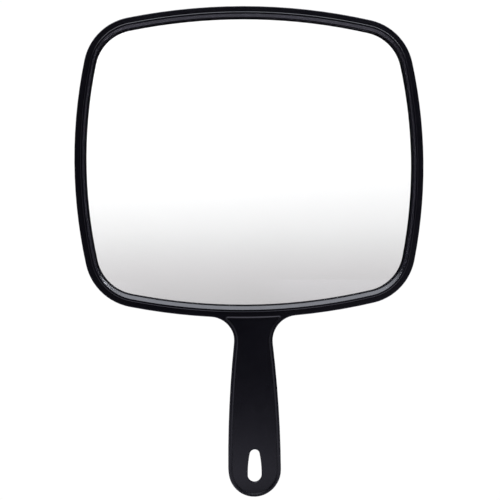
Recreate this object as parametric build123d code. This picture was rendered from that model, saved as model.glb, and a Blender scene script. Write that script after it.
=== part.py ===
from build123d import *
import math
import os

# Salon hand mirror: a moulded body with a handle, a retaining ring round the mirror
# glass, a cover over the hollow handle, and the glass with its layers and padding.
#
# Finished frame, millimetres: +X to the viewer's right, +Z up (head above, handle
# below), -Y out of the mirror's face.  Origin: centre of the head on the flat back face.
#
# Every piece is modelled lying on its back: x to the right, y up towards the head, z the
# height in front of the back face.  The export stands it upright (y to +Z, z to -Y).

# ---------------------------------------------------------------- driving dimensions
# Head outline: four long arcs joined by four corner arcs, all tangent
HEAD_HALF_W = 190.5 / 2
HEAD_HALF_H = 84.85
TOP_R = 320.0              # top and bottom long arcs
SIDE_R = 266.0             # left and right long arcs
CORNER_R = 29.8

# Handle outline
OVERALL_H = 266.7
TIP_Y = HEAD_HALF_H - OVERALL_H
TIP_R = 14.25
FLANK_R = 620.0            # long convex flank that narrows towards the neck
HANDLE_ROOT_Y = -55.0      # the handle's outline starts here, inside the head
NECK_FILLET = 13.6

# Heights in front of the back face
BACK_FIELD = 0.40          # the body's edge stands this far in front of the raised back field
FLOOR = 2.00               # wall thickness of the back
LEDGE = 7.10               # ledge that carries the handle cover
GLASS_FRONT = 7.90
LIP_UNDER = GLASS_FRONT + 0.05   # underside of the ring's lip, just clear of the glass
RING_LAND = 8.50           # small flat at the foot of the ring's bevel
COVER_TOP = 9.08           # crown of the cover, below the rim
BODY_FRONT = 9.60          # flat band round the head and the handle's rim
RING_CREST = 10.20         # the retaining ring stands proud of the band

# Glass, its coatings and padding: thicknesses, then the front of each layer
GLASS_T = 1.80
SILVER_GAP = 0.02          # thin film between the glass and the silver
SILVER_T = 0.05
PAINT_T = 0.10
TAPE_T = 0.20
GLASS_BACK = GLASS_FRONT - GLASS_T
SILVER_FRONT = GLASS_BACK - SILVER_GAP
PAINT_FRONT = SILVER_FRONT - SILVER_T
PAD_FRONT = PAINT_FRONT - PAINT_T

# Offsets inwards from the outline
WALL = 3.00                # head wall, seen from the front as the flat band
RING_OUT = WALL + 0.10     # outside of the ring
FIELD_IN = 4.3
CREST_IN = 4.36            # where the bevel leaves the crest
SKIRT_IN = 4.40
GLASS_IN = 4.65
COAT_IN = 4.85
LAND_OUT = 5.30            # where the bevel meets the small flat, at the sides
PAD_IN = 5.6
RING_IN = 5.85             # edge of the visible glass, at the sides

# The ring's opening differs a little from the head's outline
OPENING_TRIM = 0.60        # further in at the top and bottom
OPENING_RISE = 0.25        # its centre above the head's
OPENING_CORNER_TRIM = 0.5

# Rounded and bevelled edges
BACK_EDGE_R = 4.0
FIELD_BEVEL = 0.20
BAND_EDGE_R = 0.5
INNER_EDGE_R = 0.15        # front face, at the pocket and at the rim's bevel
RIM_BEVEL = 0.75           # bevel round the handle's recess: width from the front
RIM_BEVEL_DROP = 0.50      # and depth
RING_EDGE_R = 0.6
CREST_EDGE_R = 0.30
LAND_EDGE_R = 0.12
SKIRT_BEVEL = 0.4
COVER_EDGE_R = 0.12
COVER_HOLE_R = 0.3
GLASS_BEVEL = 0.2
PAD_EDGE_R = 0.5

# Handle cover and the hollow under it
RIM = 1.90                 # width of the handle's rim
HEAD_BAND = 0.15           # the cover's recess stops this far short of the head
COVER_GAP = 0.09
COVER_CROWN_R = 400.0
LEDGE_IN = 3.10
RIB_T = 1.2
RIB_TOP = 6.2
LONG_RIB_Y = (-86.0, -156.0)       # its two ends
CROSS_RIBS_Y = (-107.0, -135.0)
CROSS_RIB_L = 34.0
POST_TOP = LEDGE - 0.1
KEEP_BASE = FLOOR - 0.5    # ribs and posts start inside the floor

# Pegs under the cover and their posts in the body: x, y, peg radius, post radius
PEGS = (
    (0.0, -93.5, 1.5, 3.0),
    (0.0, -121.0, 1.5, 3.2),
    (0.0, -149.0, 1.5, 3.2),
    (-8.75, -165.0, 1.15, 2.25),
    (8.75, -165.0, 1.15, 2.25),
)
PEG_CLEAR = 0.08
PEG_END = 3.6
PEG_ROOT = LEDGE + 0.3     # pegs run this far into the cover
PEG_BEVEL = 0.4
SOCKET_FLOOR = 3.2

# Teardrop hanging hole: a lower and an upper arc joined by slightly bulging flanks
HOLE_LOW_R = 3.80
HOLE_LOW_Y = -170.50
HOLE_HIGH_R = 2.73
HOLE_HIGH_Y = -159.12
HOLE_FLANK_R = 52.0
HOLE_STEP = 0.35           # the body's hole is a little larger than the cover's
HOLE_FLARE = 18.0          # and widens towards the back, degrees
HOLE_WALL = 1.6
HOLE_BACK_R = 0.4

# Snap hooks on the ring's skirt: a tapered lead-in below a square shoulder
HOOK_L = 11.0
HOOK_OUT = 0.45
HOOK_BOTTOM = 3.9
HOOK_TOP = 5.6
HOOK_MID = HOOK_TOP - 0.5  # foot of the square shoulder
HOOK_CLEAR = 0.1           # room in the body's recesses: depth and height
HOOK_END_CLEAR = 0.3       # and at each end
HOOKS_TOP_X = (-48.0, 0.0, 48.0)
HOOKS_SIDE_Y = (-38.0, 0.0, 38.0)
PICK_IN = 6.0              # blocks that pick out the hooks: centre in from the head's edge
PICK_DEPTH = 16.0

# Tape strips: y of the middle, length
STRIPS = ((-60.0, 120.0), (-30.0, 150.0), (0.0, 156.0), (30.0, 150.0), (60.0, 120.0))
STRIP_H = 15.0

PAST = 1.0                 # cutting shapes run this far past what they cut


# ---------------------------------------------------------------- plane geometry
def circle_crossings(centre1, radius1, centre2, radius2):
    """The two points where two circles cross."""
    dx, dy = centre2[0] - centre1[0], centre2[1] - centre1[1]
    dist = math.hypot(dx, dy)
    along = (radius1**2 - radius2**2 + dist**2) / (2 * dist)
    across = math.sqrt(radius1**2 - along**2)
    dx, dy = dx / dist, dy / dist
    x, y = centre1[0] + along * dx, centre1[1] + along * dy
    return (x - dy * across, y + dx * across), (x + dy * across, y - dx * across)


def direction(start, end):
    return math.atan2(end[1] - start[1], end[0] - start[0])


def arc_points(centre, radius, angle1, angle2):
    """Start, middle and end of an arc."""
    return [(centre[0] + radius * math.cos(a), centre[1] + radius * math.sin(a))
            for a in (angle1, 0.5 * (angle1 + angle2), angle2)]


# ---------------------------------------------------------------- flat outlines
def four_arc_face(half_w, half_h, corner_r, inset):
    """Four long arcs and four corner arcs, all tangent, moved inwards by inset."""
    top_centre = (0.0, half_h - TOP_R)
    side_centre = (half_w - SIDE_R, 0.0)      # centre of the right-hand arc
    corner = max(circle_crossings(top_centre, TOP_R - corner_r,
                                  side_centre, SIDE_R - corner_r), key=sum)
    (tx, ty), (mx, my), (sx, sy) = arc_points(
        corner, corner_r - inset, direction(top_centre, corner), direction(side_centre, corner))
    top, side = half_h - inset, half_w - inset
    # clockwise from the left end of the top arc; each arc takes three points
    points = [(-tx, ty), (0, top), (tx, ty), (mx, my),
              (sx, sy), (side, 0), (sx, -sy), (mx, -my),
              (tx, -ty), (0, -top), (-tx, -ty), (-mx, -my),
              (-sx, -sy), (-side, 0), (-sx, sy), (-mx, my), (-tx, ty)]
    return make_face([ThreePointArc(*points[i:i + 3]) for i in range(0, 16, 2)])


def head_face(inset):
    return four_arc_face(HEAD_HALF_W, HEAD_HALF_H, CORNER_R, inset)


def opening_face(inset):
    """The ring's opening: as the head's outline, but trimmed at the top and bottom."""
    face = four_arc_face(HEAD_HALF_W, HEAD_HALF_H - OPENING_TRIM,
                         CORNER_R - OPENING_CORNER_TRIM, inset)
    return Pos(0, OPENING_RISE, 0) * face


def handle_face(inset):
    """The handle's outline, moved inwards by inset, running up inside the head."""
    low, top = TIP_Y + TIP_R, HANDLE_ROOT_Y
    tip_r = TIP_R - inset
    mid = 0.5 * (low + top)

    def half_width(y):
        return TIP_R - FLANK_R + math.sqrt((FLANK_R - inset)**2 - (y - low)**2)

    mid_x, top_x = half_width(mid), half_width(top)
    return make_face([
        ThreePointArc((-tip_r, low), (0, low - tip_r), (tip_r, low)),
        ThreePointArc((tip_r, low), (mid_x, mid), (top_x, top)),
        Line((top_x, top), (-top_x, top)),
        ThreePointArc((-top_x, top), (-mid_x, mid), (-tip_r, low)),
    ])


def body_face(inset):
    """Head and handle in one outline, moved inwards by inset."""
    face = head_face(inset) + handle_face(inset)
    neck = [v for v in face.vertices() if abs(v.X) < 16 and -90 < v.Y < -75]
    return fillet(neck, radius=NECK_FILLET + inset)


def below_head_face(inset, beyond, corner_r):
    """The handle's part of the body outline, ending short of the head by beyond."""
    pieces = body_face(inset) - head_face(-beyond)
    face = Sketch() + max(pieces.faces(), key=lambda f: f.area)
    return fillet([v for v in face.vertices() if v.Y > -92], radius=corner_r)


def teardrop_face(grow=0.0):
    low_r, high_r, flank_r = HOLE_LOW_R + grow, HOLE_HIGH_R + grow, HOLE_FLANK_R + grow
    low, high = (0.0, HOLE_LOW_Y), (0.0, HOLE_HIGH_Y)
    # the right-hand flank's centre is the crossing on the left
    centre = min(circle_crossings(low, flank_r - low_r, high, flank_r - high_r))
    start, mid, end = arc_points(centre, flank_r, direction(centre, low), direction(centre, high))
    left_start, left_mid, left_end = [(-x, y) for x, y in (start, mid, end)]
    return make_face([
        ThreePointArc(left_start, (0, HOLE_LOW_Y - low_r), start),
        ThreePointArc(start, mid, end),
        ThreePointArc(end, (0, HOLE_HIGH_Y + high_r), left_end),
        ThreePointArc(left_end, left_mid, left_start),
    ])


# ---------------------------------------------------------------- solids and selectors
def prism(face, z0, z1):
    return Pos(0, 0, z0) * extrude(face, amount=z1 - z0)


def funnel(grow, z0, z1):
    """The hole's outline grown by grow at z0, widening on its way back to z1."""
    return Pos(0, 0, z0) * extrude(teardrop_face(grow), amount=z1 - z0, taper=-HOLE_FLARE)


def block(x, y, size_x, size_y, z0, z1):
    return Pos(x, y, 0.5 * (z0 + z1)) * Box(size_x, size_y, z1 - z0)


def pin(x, y, radius, z0, z1):
    return Pos(x, y, 0.5 * (z0 + z1)) * Cylinder(radius, z1 - z0)


def edges_at(shape, z):
    """Edges that lie flat at height z."""
    boxes = [(e, e.bounding_box()) for e in shape.edges()]
    return [e for e, box in boxes if abs(box.min.Z - z) < 1e-3 and abs(box.max.Z - z) < 1e-3]


def face_at(shape, z):
    """The largest flat face at height z."""
    faces = [f for f in shape.faces() if f.geom_type == GeomType.PLANE
             and abs(f.center().Z - z) < 1e-3 and abs(abs(f.normal_at().Z) - 1) < 1e-6]
    return max(faces, key=lambda f: f.area)


def inner_edges(face, pick=0):
    """Edges of one inner wire of a face, the wires counted from the shortest."""
    return sorted(face.inner_wires(), key=lambda w: w.length)[pick].edges()


def hook_blocks(grow, z0, z1):
    """Blocks that pick out the hooks' places on the head's wall."""
    length = HOOK_L + 2 * grow
    pick_x, pick_y = HEAD_HALF_W - PICK_IN, HEAD_HALF_H - PICK_IN
    return ([block(x, side * pick_y, length, PICK_DEPTH, z0, z1)
             for x in HOOKS_TOP_X for side in (1, -1)]
            + [block(side * pick_x, y, PICK_DEPTH, length, z0, z1)
               for y in HOOKS_SIDE_Y for side in (1, -1)])


# ---------------------------------------------------------------- body
def make_handle_hollow():
    """The space under the cover, less the hole's wall, the peg posts and the ribs."""
    hollow = prism(below_head_face(LEDGE_IN, 1.6, 1.0), FLOOR, LEDGE + 0.01)
    keep = funnel(HOLE_STEP + HOLE_WALL, POST_TOP, KEEP_BASE)
    for x, y, _, post_r in PEGS:
        keep += pin(x, y, post_r, KEEP_BASE, POST_TOP)
    rib_start, rib_end = LONG_RIB_Y
    keep += block(0, 0.5 * (rib_start + rib_end), RIB_T, rib_start - rib_end, KEEP_BASE, RIB_TOP)
    for y in CROSS_RIBS_Y:
        keep += block(0, y, CROSS_RIB_L, RIB_T, KEEP_BASE, RIB_TOP)
    return hollow - keep


def make_body():
    body = prism(body_face(0), BACK_FIELD, BODY_FRONT)
    body = fillet(edges_at(body, BACK_FIELD), radius=BACK_EDGE_R)
    body = fillet(edges_at(body, BODY_FRONT), radius=BAND_EDGE_R)
    field = prism(body_face(FIELD_IN), 0, BACK_FIELD + 0.6)
    body = body + chamfer(edges_at(field, 0), length=FIELD_BEVEL)
    # pocket for the ring, glass and padding, then the recess for the handle cover
    body = body - prism(head_face(WALL), FLOOR, BODY_FRONT + PAST)
    body = body - prism(below_head_face(RIM, HEAD_BAND, 0.5), LEDGE, BODY_FRONT + PAST)
    # bevel round the recess, then soften the pocket's edge and the bevel's
    front = face_at(body, BODY_FRONT)
    body = chamfer(inner_edges(front), length=RIM_BEVEL, length2=RIM_BEVEL_DROP,
                   reference=front)
    for pick in (-1, 0):
        body = fillet(inner_edges(face_at(body, BODY_FRONT), pick), radius=INNER_EDGE_R)

    body = body - make_handle_hollow()
    # sockets for the cover's pegs
    for x, y, peg_r, _ in PEGS:
        body = body - pin(x, y, peg_r + PEG_CLEAR, SOCKET_FLOOR, LEDGE)
    # hanging hole, widening towards the back and rounded where it leaves it
    body = body - funnel(HOLE_STEP, LEDGE, -PAST)
    body = fillet(face_at(body, 0.0).inner_wires()[0].edges(), radius=HOLE_BACK_R)
    # recesses for the ring's snap hooks
    z0, z1 = HOOK_BOTTOM - HOOK_CLEAR, HOOK_TOP + HOOK_CLEAR
    groove = (prism(head_face(WALL - HOOK_OUT - HOOK_CLEAR), z0, z1)
              - prism(head_face(WALL + 0.3), z0 - 0.1, z1 + 0.1))
    for place in hook_blocks(HOOK_END_CLEAR, z0, z1):
        body = body - (groove & place)
    return body


# ---------------------------------------------------------------- retaining ring
def make_hook_band():
    """The hooks' section carried all round: lead-in below, square shoulder above."""
    height = HOOK_MID - HOOK_BOTTOM
    lead = math.degrees(math.atan(HOOK_OUT / height))
    outside = head_face(RING_OUT - HOOK_OUT)
    band = prism(outside, HOOK_MID, HOOK_TOP)
    band = band + Pos(0, 0, HOOK_MID) * extrude(outside, amount=-height, taper=lead)
    return band - prism(head_face(RING_OUT + 0.4), HOOK_BOTTOM - PAST, HOOK_TOP + PAST)


def make_ring():
    ring = (prism(head_face(RING_OUT), LIP_UNDER, RING_CREST)
            - prism(opening_face(RING_IN), LIP_UNDER - PAST, RING_CREST + PAST))
    ring = ring - loft([Pos(0, 0, RING_LAND) * opening_face(LAND_OUT),
                        Pos(0, 0, RING_CREST) * head_face(CREST_IN)], ruled=True)
    # outer shoulder, top of the bevel, and the edge next to the glass
    ring = fillet(face_at(ring, RING_CREST).outer_wire().edges(), radius=RING_EDGE_R)
    for z, radius in ((RING_CREST, CREST_EDGE_R), (RING_LAND, LAND_EDGE_R)):
        ring = fillet(face_at(ring, z).inner_wires()[0].edges(), radius=radius)
    # skirt that stands in the body's pocket beside the glass
    skirt_foot = FLOOR + 0.1
    skirt = (prism(head_face(RING_OUT), skirt_foot, LIP_UNDER)
             - prism(head_face(SKIRT_IN), FLOOR - PAST, LIP_UNDER + PAST))
    ring = ring + chamfer(edges_at(skirt, skirt_foot), length=SKIRT_BEVEL)
    band = make_hook_band()
    for place in hook_blocks(0.0, HOOK_BOTTOM, HOOK_TOP):
        ring = ring + (band & place)
    return ring


# ---------------------------------------------------------------- handle cover
def at_hole(edge):
    """True for an edge whose middle is on or within the hanging hole's outline."""
    mid = edge @ 0.5
    return abs(mid.X) < 4.2 and HOLE_LOW_Y - 4.2 < mid.Y < HOLE_HIGH_Y + 3.4


def make_cover():
    face = below_head_face(RIM + COVER_GAP, HEAD_BAND + COVER_GAP, 0.45)
    cover = prism(face, LEDGE, COVER_TOP + 0.5)
    crown = Rot(90, 0, 0) * Cylinder(COVER_CROWN_R, 140)
    cover = cover & (Pos(0, -130, COVER_TOP - COVER_CROWN_R) * crown)
    cover = cover - prism(teardrop_face(), LEDGE - PAST, COVER_TOP + 2 * PAST)
    # edges of the crowned face: the outer ones first, then the hole's
    outer = [e for e in cover.edges() if e.bounding_box().min.Z > LEDGE + 0.8
             and e.bounding_box().max.Z < COVER_TOP + 0.01 and not at_hole(e)]
    cover = fillet(outer, radius=COVER_EDGE_R)
    hole = [e for e in cover.edges() if e.bounding_box().min.Z > LEDGE + 1.2 and at_hole(e)]
    cover = fillet(hole, radius=COVER_HOLE_R)
    for x, y, peg_r, _ in PEGS:
        peg = pin(x, y, peg_r, PEG_END, PEG_ROOT)
        cover = cover + chamfer(edges_at(peg, PEG_END), length=PEG_BEVEL)
    return cover


# ---------------------------------------------------------------- glass and padding
def make_glass():
    glass = prism(head_face(GLASS_IN), GLASS_BACK, GLASS_FRONT)
    return chamfer(edges_at(glass, GLASS_FRONT) + edges_at(glass, GLASS_BACK),
                   length=GLASS_BEVEL)


def make_coat(front, thickness):
    return prism(head_face(COAT_IN), front - thickness, front)


def make_pad():
    pad = prism(head_face(PAD_IN), FLOOR + TAPE_T, PAD_FRONT)
    return fillet(edges_at(pad, PAD_FRONT), radius=PAD_EDGE_R)


def make_strips():
    """Double-sided tape, five separate strips between the padding and the body."""
    strips = Part()
    for y, length in STRIPS:
        strips = strips + block(0, y, length, STRIP_H, FLOOR, FLOOR + TAPE_T)
    return strips


parts = {
    "body_shell": make_body(),
    "retaining_ring": make_ring(),
    "handle_cover": make_cover(),
    "mirror_glass": make_glass(),
    "silver_layer": make_coat(SILVER_FRONT, SILVER_T),
    "backing_paint": make_coat(PAINT_FRONT, PAINT_T),
    "foam_pad": make_pad(),
    "adhesive_strips": make_strips(),
}

os.makedirs("parts", exist_ok=True)
for name, shape in parts.items():
    export_step(Rot(90, 0, 0) * shape, f"parts/{name}.step")
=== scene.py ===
import math

import bpy
import bmesh
from mathutils import Vector, Matrix, Euler


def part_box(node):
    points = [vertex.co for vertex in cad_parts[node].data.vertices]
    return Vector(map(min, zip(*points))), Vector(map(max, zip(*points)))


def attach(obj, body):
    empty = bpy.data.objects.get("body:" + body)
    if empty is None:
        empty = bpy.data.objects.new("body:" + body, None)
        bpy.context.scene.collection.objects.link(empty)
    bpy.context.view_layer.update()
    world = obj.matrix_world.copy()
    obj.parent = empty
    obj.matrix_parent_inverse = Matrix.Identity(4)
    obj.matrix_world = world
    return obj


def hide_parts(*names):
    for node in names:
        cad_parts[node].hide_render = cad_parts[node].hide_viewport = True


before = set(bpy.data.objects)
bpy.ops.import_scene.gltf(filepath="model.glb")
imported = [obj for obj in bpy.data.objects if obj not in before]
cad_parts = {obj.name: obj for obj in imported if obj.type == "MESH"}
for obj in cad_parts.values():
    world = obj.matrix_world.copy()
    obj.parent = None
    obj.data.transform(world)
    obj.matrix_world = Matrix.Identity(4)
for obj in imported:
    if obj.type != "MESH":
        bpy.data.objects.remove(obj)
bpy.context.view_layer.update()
MM = 0.001


# ------------------------------------------------------------------ node helpers
class Tree:
    """Short way to write a node tree."""

    def __init__(self, tree):
        self.t = tree
        self.x = 0

    def n(self, kind, inputs=None, **props):
        node = self.t.nodes.new("ShaderNode" + kind)
        node.location = (self.x, 0)
        self.x += 40
        for k, v in props.items():
            setattr(node, k, v)
        for k, v in (inputs or {}).items():
            self.put(node, k, v)
        return node

    def put(self, node, key, v):
        sock = node.inputs[key]
        if isinstance(v, bpy.types.Node):
            v = v.outputs[0]
        if isinstance(v, bpy.types.NodeSocket):
            self.t.links.new(v, sock)
        else:
            sock.default_value = v

    def math(self, op, a, b=None, c=None, clamp=False):
        node = self.n("Math", operation=op, use_clamp=clamp)
        for i, v in enumerate((a, b, c)):
            if v is not None:
                self.put(node, i, v)
        return node.outputs[0]

    def mix(self, f, a, b):
        """Mix of two floats."""
        node = self.n("Mix", data_type="FLOAT")
        for k, v in ((0, f), (2, a), (3, b)):
            self.put(node, k, v)
        return node.outputs[0]

    def mixc(self, f, a, b, blend="MIX"):
        """Mix of two colours."""
        node = self.n("Mix", data_type="RGBA", blend_type=blend)
        for k, v in ((0, f), (6, a), (7, b)):
            self.put(node, k, v)
        return node.outputs[2]

    def ramp(self, f, stops, interpolation="LINEAR"):
        node = self.n("ValToRGB", {"Fac": f})
        r = node.color_ramp
        r.interpolation = interpolation
        while len(r.elements) < len(stops):
            r.elements.new(0.5)
        for e, (p, c) in zip(r.elements, stops):
            e.position = p
            e.color = (c, c, c, 1) if isinstance(c, (int, float)) else tuple(c) + (1,)
        return node.outputs[0]

    def span(self, v, a, b, lo=0.0, hi=1.0, smooth=False):
        """v from a to b becomes lo to hi, and stays there outside."""
        node = self.n("MapRange", interpolation_type="SMOOTHSTEP" if smooth else "LINEAR", clamp=True)
        for k, x in ((0, v), (1, a), (2, b), (3, lo), (4, hi)):
            self.put(node, k, x)
        return node.outputs[0]


def material(name):
    m = bpy.data.materials.new(name)
    m.use_nodes = True
    m.node_tree.nodes.clear()
    return m, Tree(m.node_tree)


def give(node, mat):
    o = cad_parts[node]
    o.data.materials.clear()
    o.data.materials.append(mat)
    return o


# ------------------------------------------------------------------ black moulded plastic
def black_plastic(name, base, rough, grain, seed, spec=0.5, wave=1.0, wear=1.0):
    """ABS straight from the mould: a fine spark-eroded grain, slow waviness of the skin, a few
    hairline scratches, patches of slightly different gloss, and edges polished by handling."""
    m, t = material(name)
    co = t.n("TexCoord").outputs["Object"]
    mm = t.n("VectorMath", {0: co, 1: (1000, 1000, 1000)}, operation="MULTIPLY").outputs[0]
    mm = t.n("VectorMath", {0: mm, 1: (seed * 7.3, seed * 3.1, seed * 5.7)}, operation="ADD").outputs[0]

    slow = t.n("TexNoise", {"Vector": mm, "Scale": 0.035, "Detail": 3.0, "Roughness": 0.5}).outputs["Fac"]
    patch = t.n("TexNoise", {"Vector": mm, "Scale": 0.11, "Detail": 5.0, "Roughness": 0.6, "Distortion": 0.4}).outputs["Fac"]
    fine = t.n("TexNoise", {"Vector": mm, "Scale": 3.2, "Detail": 3.0, "Roughness": 0.6}).outputs["Fac"]
    pits = t.n("TexVoronoi", {"Vector": mm, "Scale": 2.6, "Randomness": 1.0}, feature="SMOOTH_F1").outputs["Distance"]

    # hairline scratches in two directions
    def scratches(angle, scale, level):
        rot = t.n("VectorRotate", {"Vector": mm, "Axis": (0, 1, 0), "Angle": math.radians(angle)}).outputs[0]
        st = t.n("VectorMath", {0: rot, 1: (1.0, 1.0, 0.035)}, operation="MULTIPLY").outputs[0]
        nz = t.n("TexNoise", {"Vector": st, "Scale": scale, "Detail": 2.0, "Roughness": 0.6}).outputs["Fac"]
        line = t.math("ABSOLUTE", t.math("SUBTRACT", nz, 0.5))
        line = t.span(line, 0.0, 0.006, 1.0, 0.0)
        sparse = t.span(t.n("TexNoise", {"Vector": rot, "Scale": scale * 0.22, "Detail": 1.0}).outputs["Fac"], level, level + 0.08, 0.0, 1.0)
        return t.math("MULTIPLY", line, sparse)

    scr = t.math("ADD", scratches(24 + seed * 11, 0.55, 0.60), scratches(-58 + seed * 7, 0.42, 0.62), clamp=True)

    # worn edges: where a rounded-over normal turns away from the real one
    bev = t.n("Bevel", {"Radius": 0.45 * MM}, samples=4).outputs[0]
    true = t.n("NewGeometry").outputs["Normal"]
    dot = t.n("VectorMath", {0: bev, 1: true}, operation="DOT_PRODUCT").outputs["Value"]
    edge = t.span(dot, 0.995, 0.86, 0.0, 1.0)
    edge = t.math("MULTIPLY", edge, t.span(patch, 0.40, 0.62, 0.25, 1.0))
    edge = t.math("MULTIPLY", edge, wear)

    col = t.mixc(t.span(slow, 0.3, 0.7), tuple(c * 0.86 for c in base) + (1,), tuple(c * 1.14 for c in base) + (1,))
    col = t.mixc(t.math("MULTIPLY", t.span(fine, 0.35, 0.75), 0.35), col, tuple(c * 1.5 for c in base) + (1,))
    col = t.mixc(t.math("MULTIPLY", edge, 0.5), col, (0.030, 0.030, 0.033, 1))
    col = t.mixc(t.math("MULTIPLY", scr, 0.35), col, (0.035, 0.035, 0.038, 1))

    r = t.span(patch, 0.25, 0.75, rough - 0.035, rough + 0.045)
    r = t.math("ADD", r, t.math("MULTIPLY", t.span(slow, 0.3, 0.7, -1.0, 1.0), 0.015))
    r = t.math("SUBTRACT", r, t.math("MULTIPLY", edge, 0.05))
    r = t.math("ADD", r, t.math("MULTIPLY", scr, 0.12), clamp=True)

    wv = t.n("TexNoise", {"Vector": mm, "Scale": 0.16, "Detail": 2.0, "Roughness": 0.4}).outputs["Fac"]
    b1 = t.n("Bump", {"Height": wv, "Strength": 1.0, "Distance": 0.012 * MM * wave})
    b2 = t.n("Bump", {"Height": t.math("SUBTRACT", fine, t.math("MULTIPLY", pits, 0.5)), "Strength": 1.0, "Distance": 0.006 * MM * grain, "Normal": b1})
    b3 = t.n("Bump", {"Height": scr, "Strength": 1.0, "Distance": 0.003 * MM, "Normal": b2}, invert=True)
    p = t.n("BsdfPrincipled", {"Base Color": col, "Roughness": r, "IOR": 1.5, "Specular IOR Level": spec, "Normal": b3})
    t.n("OutputMaterial", {"Surface": p})
    return m


# ------------------------------------------------------------------ mirror glass and its layers
def float_glass():
    m, t = material("float_glass")
    co = t.n("TexCoord").outputs["Object"]
    mm = t.n("VectorMath", {0: co, 1: (1000, 1000, 1000)}, operation="MULTIPLY").outputs[0]
    nrm = t.n("NewGeometry").outputs["Normal"]
    sep = t.n("SeparateXYZ", {0: nrm})
    side = t.span(t.math("ABSOLUTE", sep.outputs["Y"]), 0.95, 0.6, 0.0, 1.0)       # ground edge and arris
    smudge = t.n("TexNoise", {"Vector": mm, "Scale": 0.03, "Detail": 6.0, "Roughness": 0.62, "Distortion": 0.8}).outputs["Fac"]
    ground = t.n("TexNoise", {"Vector": mm, "Scale": 5.0, "Detail": 3.0}).outputs["Fac"]
    rough = t.mix(side, t.span(smudge, 0.58, 0.80, 0.0, 0.004), t.span(ground, 0.3, 0.7, 0.28, 0.45))
    tint = t.mixc(side, (0.992, 0.993, 0.994, 1), (0.62, 0.86, 0.76, 1))
    g = t.n("BsdfGlass", {"Color": tint, "Roughness": rough, "IOR": 1.52})
    t.n("OutputMaterial", {"Surface": g})
    return m


def silver():
    m, t = material("silvering")
    co = t.n("TexCoord").outputs["Object"]
    mm = t.n("VectorMath", {0: co, 1: (1000, 1000, 1000)}, operation="MULTIPLY").outputs[0]
    slow = t.n("TexNoise", {"Vector": mm, "Scale": 0.02, "Detail": 2.0}).outputs["Fac"]
    col = t.mixc(t.span(slow, 0.3, 0.7), (0.970, 0.967, 0.966, 1), (0.984, 0.982, 0.981, 1))
    g = t.n("BsdfAnisotropic", {"Color": col, "Roughness": 0.0})
    t.n("OutputMaterial", {"Surface": g})
    return m


def matt(name, a, b, rough, scale, depth, cells=False):
    m, t = material(name)
    co = t.n("TexCoord").outputs["Object"]
    mm = t.n("VectorMath", {0: co, 1: (1000, 1000, 1000)}, operation="MULTIPLY").outputs[0]
    nz = t.n("TexNoise", {"Vector": mm, "Scale": scale, "Detail": 4.0}).outputs["Fac"]
    if cells:
        h = t.n("TexVoronoi", {"Vector": mm, "Scale": scale * 2.2}).outputs["Distance"]
    else:
        h = nz
    col = t.mixc(t.span(nz, 0.3, 0.7), a + (1,), b + (1,))
    bp = t.n("Bump", {"Height": h, "Strength": 1.0, "Distance": depth * MM})
    p = t.n("BsdfPrincipled", {"Base Color": col, "Roughness": t.span(nz, 0.2, 0.8, rough - 0.06, rough + 0.06), "Normal": bp})
    t.n("OutputMaterial", {"Surface": p})
    return m


INK = (0.0025, 0.0022, 0.0048)
give("body_shell", black_plastic("body_plastic", INK, 0.30, 1.0, 1))
give("retaining_ring", black_plastic("ring_plastic", INK, 0.22, 0.6, 2))
give("handle_cover", black_plastic("cover_plastic", INK, 0.30, 1.0, 3))
give("mirror_glass", float_glass())
give("silver_layer", silver())
give("backing_paint", matt("mirror_paint", (0.15, 0.14, 0.13), (0.20, 0.19, 0.175), 0.6, 0.4, 0.02))
give("foam_pad", matt("foam", (0.50, 0.50, 0.48), (0.66, 0.66, 0.64), 0.9, 1.2, 0.08, cells=True))
give("adhesive_strips", matt("tape", (0.68, 0.65, 0.55), (0.78, 0.76, 0.68), 0.55, 0.8, 0.02))

for name in ("body_shell", "retaining_ring", "handle_cover", "mirror_glass"):
    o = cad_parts[name]
    bpy.context.view_layer.objects.active = o
    for p in o.data.polygons:
        p.use_smooth = True
    md = o.modifiers.new("sharp", "EDGE_SPLIT")
    md.split_angle = math.radians(32)
    md2 = o.modifiers.new("normals", "WEIGHTED_NORMAL")
    md2.keep_sharp = True

# ------------------------------------------------------------------ padding and tape behind the glass
def arc_points(c, r, a0, a1, n):
    return [(Vector((c[0] + r * math.cos(a), c[1] + r * math.sin(a))), Vector((math.cos(a), math.sin(a))))
            for a in (a0 + (a1 - a0) * i / n for i in range(n))]


def head_loop(half_w, half_h, r_top, r_side, r_corner):
    """(point, outward normal) round a head-shaped outline of four long and four corner arcs."""
    ct, cs = Vector((0, half_h - r_top)), Vector((half_w - r_side, 0))
    r1, r2 = r_top - r_corner, r_side - r_corner
    d = (cs - ct).length
    a = (r1 * r1 - r2 * r2 + d * d) / (2 * d)
    h = math.sqrt(r1 * r1 - a * a)
    u = (cs - ct) / d
    cc = max((ct + a * u + k * h * Vector((-u.y, u.x)) for k in (1, -1)), key=lambda p: p.x + p.y)
    at = math.atan2(cc.y - ct.y, cc.x - ct.x)
    as_ = math.atan2(cc.y - cs.y, cc.x - cs.x)
    quarter = arc_points(cs, r_side, 0, as_, 30) + arc_points(cc, r_corner, as_, at, 22) + arc_points(ct, r_top, at, math.pi / 2, 34)
    loop = list(quarter)
    top = (Vector((0, half_h)), Vector((0, 1)))
    loop.append(top)
    loop += [(Vector((-p.x, p.y)), Vector((-n.x, n.y))) for p, n in reversed(quarter)]
    loop += [(Vector((p.x, -p.y)), Vector((n.x, -n.y))) for p, n in reversed(loop[1:-1])]
    return loop


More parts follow.
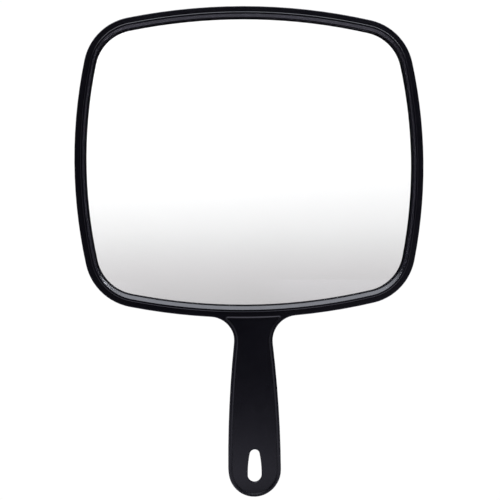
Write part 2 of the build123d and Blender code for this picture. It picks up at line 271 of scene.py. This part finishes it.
def strip_loop(half_w, half_h, r):
    out = []
    for cx, cy, a in ((1, 1, 0), (-1, 1, 1), (-1, -1, 2), (1, -1, 3)):
        c = (cx * (half_w - r), cy * (half_h - r))
        out += arc_points(c, r, a * math.pi / 2, (a + 1) * math.pi / 2, 6)
        out.append((Vector((c[0] + r * math.cos((a + 1) * math.pi / 2), c[1] + r * math.sin((a + 1) * math.pi / 2))),
                    Vector((math.cos((a + 1) * math.pi / 2), math.sin((a + 1) * math.pi / 2)))))
    # points along the long sides
    full = []
    n = len(out)
    for i, (p, nn) in enumerate(out):
        full.append((p, nn))
        q = out[(i + 1) % n][0]
        k = int((q - p).length / (3 * MM))
        for j in range(1, k):
            full.append((p.lerp(q, j / k), nn))
    return full


def sheet(bm, loop, centre, y_front, y_back, edge_r, rings, wave, seed):
    """A soft sheet: flat where it is pressed, with rounded edges that bulge, waver and curl a little."""
    from mathutils import noise
    n = len(loop)
    prof = []                                    # (how far in from the outline, y)
    for k in range(5):
        a = math.pi / 2 * k / 4
        prof.append((edge_r * (1 - math.sin(a)) + 0.04 * edge_r, y_front + edge_r * (1 - math.cos(a))))
    mid = 0.5 * (y_front + y_back)
    prof.append((0.0, mid))
    for k in range(5):
        a = math.pi / 2 * (1 - k / 4)
        prof.append((edge_r * (1 - math.sin(a)) + 0.04 * edge_r, y_back - edge_r * (1 - math.cos(a))))

    def place(p, nn, inset, y, t):
        w = noise.noise(Vector((p.x * 160, p.y * 160, seed))) * wave
        q = p - nn * (inset + abs(w)) if t == 0 else p
        return (centre[0] + q.x, y, centre[1] + q.y)

    rows = []
    for inset, y in prof:
        rows.append([bm.verts.new(place(p, nn, inset, y, 0)) for p, nn in loop])
    for a, b in zip(rows, rows[1:]):
        for i in range(n):
            j = (i + 1) % n
            bm.faces.new((a[i], a[j], b[j], b[i]))
    for row, y, flip in ((rows[0], y_front, False), (rows[-1], y_back, True)):
        prev = row
        depth = prof[0][0] if not flip else prof[-1][0]
        sgn = 1 if not flip else -1
        for k in range(1, rings):
            f = 1 - (k / rings)
            cur = []
            for p, nn in loop:
                q = (p - nn * depth) * f
                bump = (0.5 + 0.5 * noise.noise(Vector((q.x * 90, q.y * 90, seed + 3)))) * wave * 0.4
                cur.append(bm.verts.new((centre[0] + q.x, y + sgn * bump, centre[1] + q.y)))
            for i in range(n):
                j = (i + 1) % n
                bm.faces.new((prev[j], prev[i], cur[i], cur[j]) if not flip else (prev[i], prev[j], cur[j], cur[i]))
            prev = cur
        c = bm.verts.new((centre[0], y, centre[1]))
        for i in range(n):
            j = (i + 1) % n
            bm.faces.new((prev[j], prev[i], c) if not flip else (prev[i], prev[j], c))


def soft_piece(name, node, build):
    me = bpy.data.meshes.new(name)
    bm = bmesh.new()
    build(bm)
    bmesh.ops.recalc_face_normals(bm, faces=bm.faces)
    bm.to_mesh(me)
    bm.free()
    for p in me.polygons:
        p.use_smooth = True
    o = bpy.data.objects.new(name, me)
    bpy.context.scene.collection.objects.link(o)
    me.materials.append(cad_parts[node].data.materials[0])
    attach(o, "root")
    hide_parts(node)
    return o


PAD_LO, PAD_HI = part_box("foam_pad")
TAPE_LO, TAPE_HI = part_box("adhesive_strips")
pad_loop = head_loop(PAD_HI.x, PAD_HI.z, 314.4 * MM, 260.4 * MM, 24.2 * MM)
soft_piece("foam_sheet", "foam_pad",
           lambda bm: sheet(bm, pad_loop, (0, 0), PAD_LO.y, PAD_HI.y, 0.9 * MM, 26, 0.25 * MM, 4.0))


def all_strips(bm):
    for k, (v, l) in enumerate(((-60.0, 120.0), (-30.0, 150.0), (0.0, 156.0), (30.0, 150.0), (60.0, 120.0))):
        loop = strip_loop(0.5 * l * MM, 7.5 * MM, 0.6 * MM)
        sheet(bm, loop, (0, v * MM), TAPE_LO.y, TAPE_HI.y, 0.05 * MM, 4, 0.05 * MM, 10.0 + k)


soft_piece("tape_strips", "adhesive_strips", all_strips)

# ------------------------------------------------------------------ floor glowing with painted light and shade, and soft studio light
HEAD_LO, HEAD_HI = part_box("retaining_ring")
BODY_LO, BODY_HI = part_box("body_shell")
FLOOR_Z = BODY_LO.z - 0.008
SWEEP_GAIN = 1.073
ROOM_FRONT, ROOM_BACK = 0.02, 0.13


def card(name, size_x, size_y, strength, place, aim, colour=(1, 1, 1), soft_x=0.25, soft_y=0.25):
    """A softbox: a flat panel that glows to its reflections and isn't seen by the camera."""
    me = bpy.data.meshes.new(name)
    bm = bmesh.new()
    nx = ny = 12
    grid = [[bm.verts.new(((i / nx - 0.5) * size_x, (j / ny - 0.5) * size_y, 0)) for j in range(ny + 1)] for i in range(nx + 1)]
    for i in range(nx):
        for j in range(ny):
            bm.faces.new((grid[i][j], grid[i + 1][j], grid[i + 1][j + 1], grid[i][j + 1]))
    bm.to_mesh(me)
    bm.free()
    o = bpy.data.objects.new(name, me)
    bpy.context.scene.collection.objects.link(o)
    o.location = place
    d = Vector(aim) - Vector(place)
    o.rotation_euler = d.to_track_quat("Z", "Y").to_euler()
    m, t = material(name + "_mat")
    co = t.n("TexCoord").outputs["Generated"]
    sep = t.n("SeparateXYZ", {0: co})

    def fall(c, soft):
        e = t.math("MULTIPLY", t.math("ABSOLUTE", t.math("SUBTRACT", c, 0.5)), 2.0)
        return t.span(e, 1.0 - soft, 1.0, 1.0, 0.0, smooth=True)

    f = t.math("MULTIPLY", fall(sep.outputs["X"], soft_x), fall(sep.outputs["Y"], soft_y))
    lp = t.n("LightPath")
    front = t.math("SUBTRACT", 1.0, t.n("NewGeometry").outputs["Backfacing"])
    em = t.n("Emission", {"Color": tuple(colour) + (1,), "Strength": t.math("MULTIPLY", t.math("MULTIPLY", f, front), strength)})
    tr = t.n("BsdfTransparent")
    add = t.n("AddShader", {0: em, 1: tr})
    in_mirror = t.math("MULTIPLY", t.math("GREATER_THAN", lp.outputs["Transmission Depth"], 0.5), t.math("LESS_THAN", lp.outputs["Glossy Depth"], 1.5))
    hide = t.math("MAXIMUM", lp.outputs["Is Camera Ray"], in_mirror)
    mx = t.n("MixShader", {0: hide, 1: add, 2: t.n("BsdfTransparent")})
    t.n("OutputMaterial", {"Surface": mx})
    o.visible_shadow = False
    return o


def floor():
    me = bpy.data.meshes.new("floor")
    bm = bmesh.new()
    R, n, rings = 1.6, 64, 10
    mid = bm.verts.new((0, 0, 0))
    prev = None
    for k in range(1, rings + 1):
        r = R * (k / rings) ** 1.5
        ring = [bm.verts.new((r * math.cos(2 * math.pi * i / n), r * math.sin(2 * math.pi * i / n), 0)) for i in range(n)]
        for i in range(n):
            j = (i + 1) % n
            if prev is None:
                bm.faces.new((mid, ring[i], ring[j]))
            else:
                bm.faces.new((prev[i], ring[i], ring[j], prev[j]))
        prev = ring
    bm.to_mesh(me)
    bm.free()
    o = bpy.data.objects.new("floor", me)
    bpy.context.scene.collection.objects.link(o)
    o.location = (0, 0, FLOOR_Z)
    m, t = material("floor_painted_light_mat")
    co = t.n("TexCoord").outputs["Object"]
    # painted light and shade on the glowing floor: a long bright patch from side to side in front of the object, and
    # painted shade close to its foot and behind it
    sp = t.n("SeparateXYZ", {0: co})
    x, y = sp.outputs["X"], sp.outputs["Y"]
    oval = t.n("CombineXYZ", {0: t.math("MULTIPLY", x, 0.30), 1: y})
    length = t.n("VectorMath", {0: oval}, operation="LENGTH").outputs["Value"]
    near = t.n("VectorMath", {0: co}, operation="LENGTH").outputs["Value"]
    low = t.ramp(t.span(length, 0.0, 0.8), [(0.0, 0.05), (0.035, 0.14), (0.056, 0.48), (0.09, 0.62), (0.13, 0.46), (0.17, 0.34), (0.24, 0.17),
                                            (0.33, 0.06), (0.5, 0.03), (1.0, 0.015)])
    beside = t.math("ABSOLUTE", x)
    # painted light: the floor glows brighter to either side of the object
    glow = t.math("ADD", t.span(x, 0.08, 0.24, 0.0, 0.28, smooth=True), t.span(x, -0.10, -0.26, 0.0, 0.18, smooth=True))
    low = t.math("MULTIPLY", low, t.span(x, -0.02, 0.035, 1.14, 0.88))
    low = t.math("ADD", low, t.math("MULTIPLY", glow, t.span(beside, 0.6, 1.2, 1.0, 0.3)))
    behind = t.math("SUBTRACT", y, t.math("MULTIPLY", beside, 0.34))
    low = t.math("MULTIPLY", low, t.span(behind, 0.0, 0.06, 1.0, 0.15, smooth=True))
    # painted reflection: looked at from above, the glow copies a satin surface mirroring the softbox
    painted_softbox_reflection = t.ramp(t.span(length, 0.0, 0.8), [(0.0, 2.35), (0.022, 2.15), (0.048, 1.38), (0.10, 1.05), (0.17, 0.60), (0.30, 0.20), (1.0, 0.03)])
    painted_softbox_reflection = t.math("ADD", painted_softbox_reflection, t.math("MULTIPLY", t.span(x, 0.12, 0.22, 0.0, 1.7, smooth=True), t.span(x, 0.34, 0.60, 1.0, 0.0, smooth=True)))
    # painted shade: the painted softbox reflection fades out close to the foot and behind the object
    painted_softbox_reflection = t.math("MULTIPLY", painted_softbox_reflection, t.span(near, 0.010, 0.026, 0.08, 1.0, smooth=True))
    painted_softbox_reflection = t.math("MULTIPLY", painted_softbox_reflection, t.span(behind, 0.03, 0.10, 1.0, 0.15, smooth=True))
    geo = t.n("NewGeometry")
    steep = t.math("ABSOLUTE", t.n("VectorMath", {0: geo.outputs["Incoming"], 1: geo.outputs["Normal"]}, operation="DOT_PRODUCT").outputs["Value"])
    bright = t.mix(t.span(steep, 0.45, 0.92, 0.0, 1.0, smooth=True), low, painted_softbox_reflection)
    paper = t.n("TexNoise", {"Vector": co, "Scale": 90.0, "Detail": 4.0}).outputs["Fac"]
    bright = t.math("MULTIPLY", bright, t.span(paper, 0.3, 0.7, 0.97, 1.03))
    # the floor's painted light and shade are given off as emission, hidden from the camera and from the mirror
    em = t.n("Emission", {"Color": (0.975, 0.955, 1.16, 1), "Strength": bright})
    lp = t.n("LightPath")
    in_mirror = t.math("MULTIPLY", t.math("GREATER_THAN", lp.outputs["Transmission Depth"], 0.5), t.math("LESS_THAN", lp.outputs["Glossy Depth"], 1.5))
    hide = t.math("MAXIMUM", lp.outputs["Is Camera Ray"], in_mirror)
    mx = t.n("MixShader", {0: hide, 1: em, 2: t.n("BsdfTransparent")})
    t.n("OutputMaterial", {"Surface": mx})
    me.materials.append(m)
    o.visible_shadow = False
    return o


floor()
for nm, args in {
    "overhead_box": (2.00, 0.40, 5.7, (0.12, -0.050, 0.48), (0.12, -0.010, -0.05), (0.925, 0.955, 1.05), 0.75, 0.30),
    "top_left_box": (0.34, 0.28, 1.5, (-0.45, -0.14, 0.474), (-0.45, -0.10, -0.05), (0.925, 0.955, 1.05), 0.60, 0.60),
    "top_right_box": (0.36, 0.28, 2.8, (0.51, -0.11, 0.474), (0.51, -0.07, -0.05), (0.925, 0.955, 1.05), 0.60, 0.60),
    "front_top_box": (2.2, 0.50, 2.1, (0.0, -1.38, 1.52), (0.0, -0.01, -0.18), (0.96, 0.97, 1.06), 0.60, 0.60),
    "rear_box": (0.60, 0.36, 0.9, (-0.10, 0.95, 0.20), (0.0, 0.0, -0.03), (0.97, 0.96, 1.10), 0.80, 0.80),
    "left_card": (0.40, 0.60, 0.44, (-0.62, -0.20, 0.02), (0.0, 0.0, 0.0), (0.975, 0.955, 1.16)),
    "right_card": (0.40, 0.60, 0.40, (0.62, -0.20, 0.02), (0.0, 0.0, 0.0), (0.975, 0.955, 1.16)),
}.items():
    o = card(nm, *args)
    o.data.materials.append(bpy.data.materials[nm + "_mat"])

world = bpy.data.worlds.new("studio")
bpy.context.scene.world = world
world.use_nodes = True
world.node_tree.nodes.clear()
w = Tree(world.node_tree)
dirv = w.n("TexCoord").outputs["Generated"]
sep = w.n("SeparateXYZ", {0: dirv})
lp = w.n("LightPath")
# what the mirror reflects: a white sweep that turns slightly grey below the horizon and away from the window side
elev = w.math("MULTIPLY", w.math("ARCSINE", sep.outputs["Z"]), 180 / math.pi)
SWEEP = ((-8.0, 0.550), (-6.05, 0.622), (-5.13, 0.668), (-4.2, 0.719), (-3.26, 0.777), (-2.33, 0.837),
         (-1.39, 0.905), (-0.46, 0.977), (0.48, 1.034), (1.42, 1.083), (2.36, 1.13), (4.0, 1.19))
sweep = w.ramp(w.span(elev, -8.0, 4.0), [((e + 8.0) / 12.0, v / 1.25) for e, v in SWEEP])
sweep = w.math("MULTIPLY", sweep, SWEEP_GAIN * 1.25)
across = w.span(sep.outputs["X"], -0.13, 0.28, 1.030, 0.970)
sweep = w.math("MULTIPLY", sweep, across)
# what the plastic reflects: a dim room, lighter behind the mirror than in front
dim = w.span(sep.outputs["Y"], -1.0, 1.0, ROOM_FRONT, ROOM_BACK)
# only rays that went through the glass and met nothing but the silver see the sweep
seen = w.math("GREATER_THAN", lp.outputs["Transmission Depth"], 0.5)
seen = w.math("MULTIPLY", seen, w.math("LESS_THAN", lp.outputs["Diffuse Depth"], 0.5))
seen = w.math("MULTIPLY", seen, w.math("LESS_THAN", lp.outputs["Glossy Depth"], 1.5))
strength = w.mix(seen, dim, sweep)
strength = w.mix(lp.outputs["Is Camera Ray"], strength, 1.02)
warm = w.math("MULTIPLY", seen, w.span(elev, -4.0, -1.5, 1.0, 0.0))
plain = w.math("MAXIMUM", seen, lp.outputs["Is Camera Ray"])
tint = w.mixc(plain, (0.97, 0.94, 1.25, 1), w.mixc(warm, (1, 1, 1, 1), (1.0, 0.982, 0.991, 1)))
bg = w.n("Background", {"Color": tint, "Strength": strength})
w.n("OutputWorld", {"Surface": bg})

# ------------------------------------------------------------------ camera
# Level with the lower half of the head and a little to its left; the frame is shifted down to take in the handle.
YAW, PITCH, ROLL = math.radians(4.16), math.radians(0.42), math.radians(-0.540)
DIST = 0.400
MM_PER_PX = 0.54605 * MM
SHIFT = -33.2 / 500
fwd = Vector((math.sin(YAW) * math.cos(PITCH), math.cos(YAW) * math.cos(PITCH), math.sin(PITCH)))
AIM = Vector((-0.00122, -0.0075, -0.0300))
cam_data = bpy.data.cameras.new("camera")
cam_data.sensor_width = 36.0
cam_data.lens = 36.0 * DIST / (500 * MM_PER_PX)
cam_data.clip_start = 0.01
cam_data.clip_end = 20.0
cam = bpy.data.objects.new("camera", cam_data)
bpy.context.scene.collection.objects.link(cam)
cam.location = AIM - DIST * fwd
look = fwd.to_track_quat("-Z", "Y")
cam.rotation_euler = (look.to_matrix() @ Matrix.Rotation(ROLL, 3, "Z")).to_euler()
bpy.context.scene.camera = cam

# the shift belongs to this one view: from anywhere else the lens is straight
drv = cam_data.driver_add("shift_y").driver
drv.type = "SCRIPTED"
for axis in "XYZ":
    v = drv.variables.new()
    v.name = "p" + axis.lower()
    v.type = "TRANSFORMS"
    v.targets[0].id = cam
    v.targets[0].transform_type = "LOC_" + axis
    v.targets[0].transform_space = "WORLD_SPACE"
drv.expression = "%.5f if fabs(px - (%.5f)) + fabs(py - (%.5f)) + fabs(pz - (%.5f)) < 0.001 else 0" % (SHIFT, cam.location.x, cam.location.y, cam.location.z)

scene = bpy.context.scene
scene.view_settings.view_transform = "Standard"
scene.view_settings.look = "None"
scene.view_settings.exposure = 0.0
scene.view_settings.gamma = 1.0
scene.cycles.max_bounces = 12
scene.cycles.transmission_bounces = 8
scene.cycles.glossy_bounces = 6
scene.cycles.transparent_max_bounces = 12
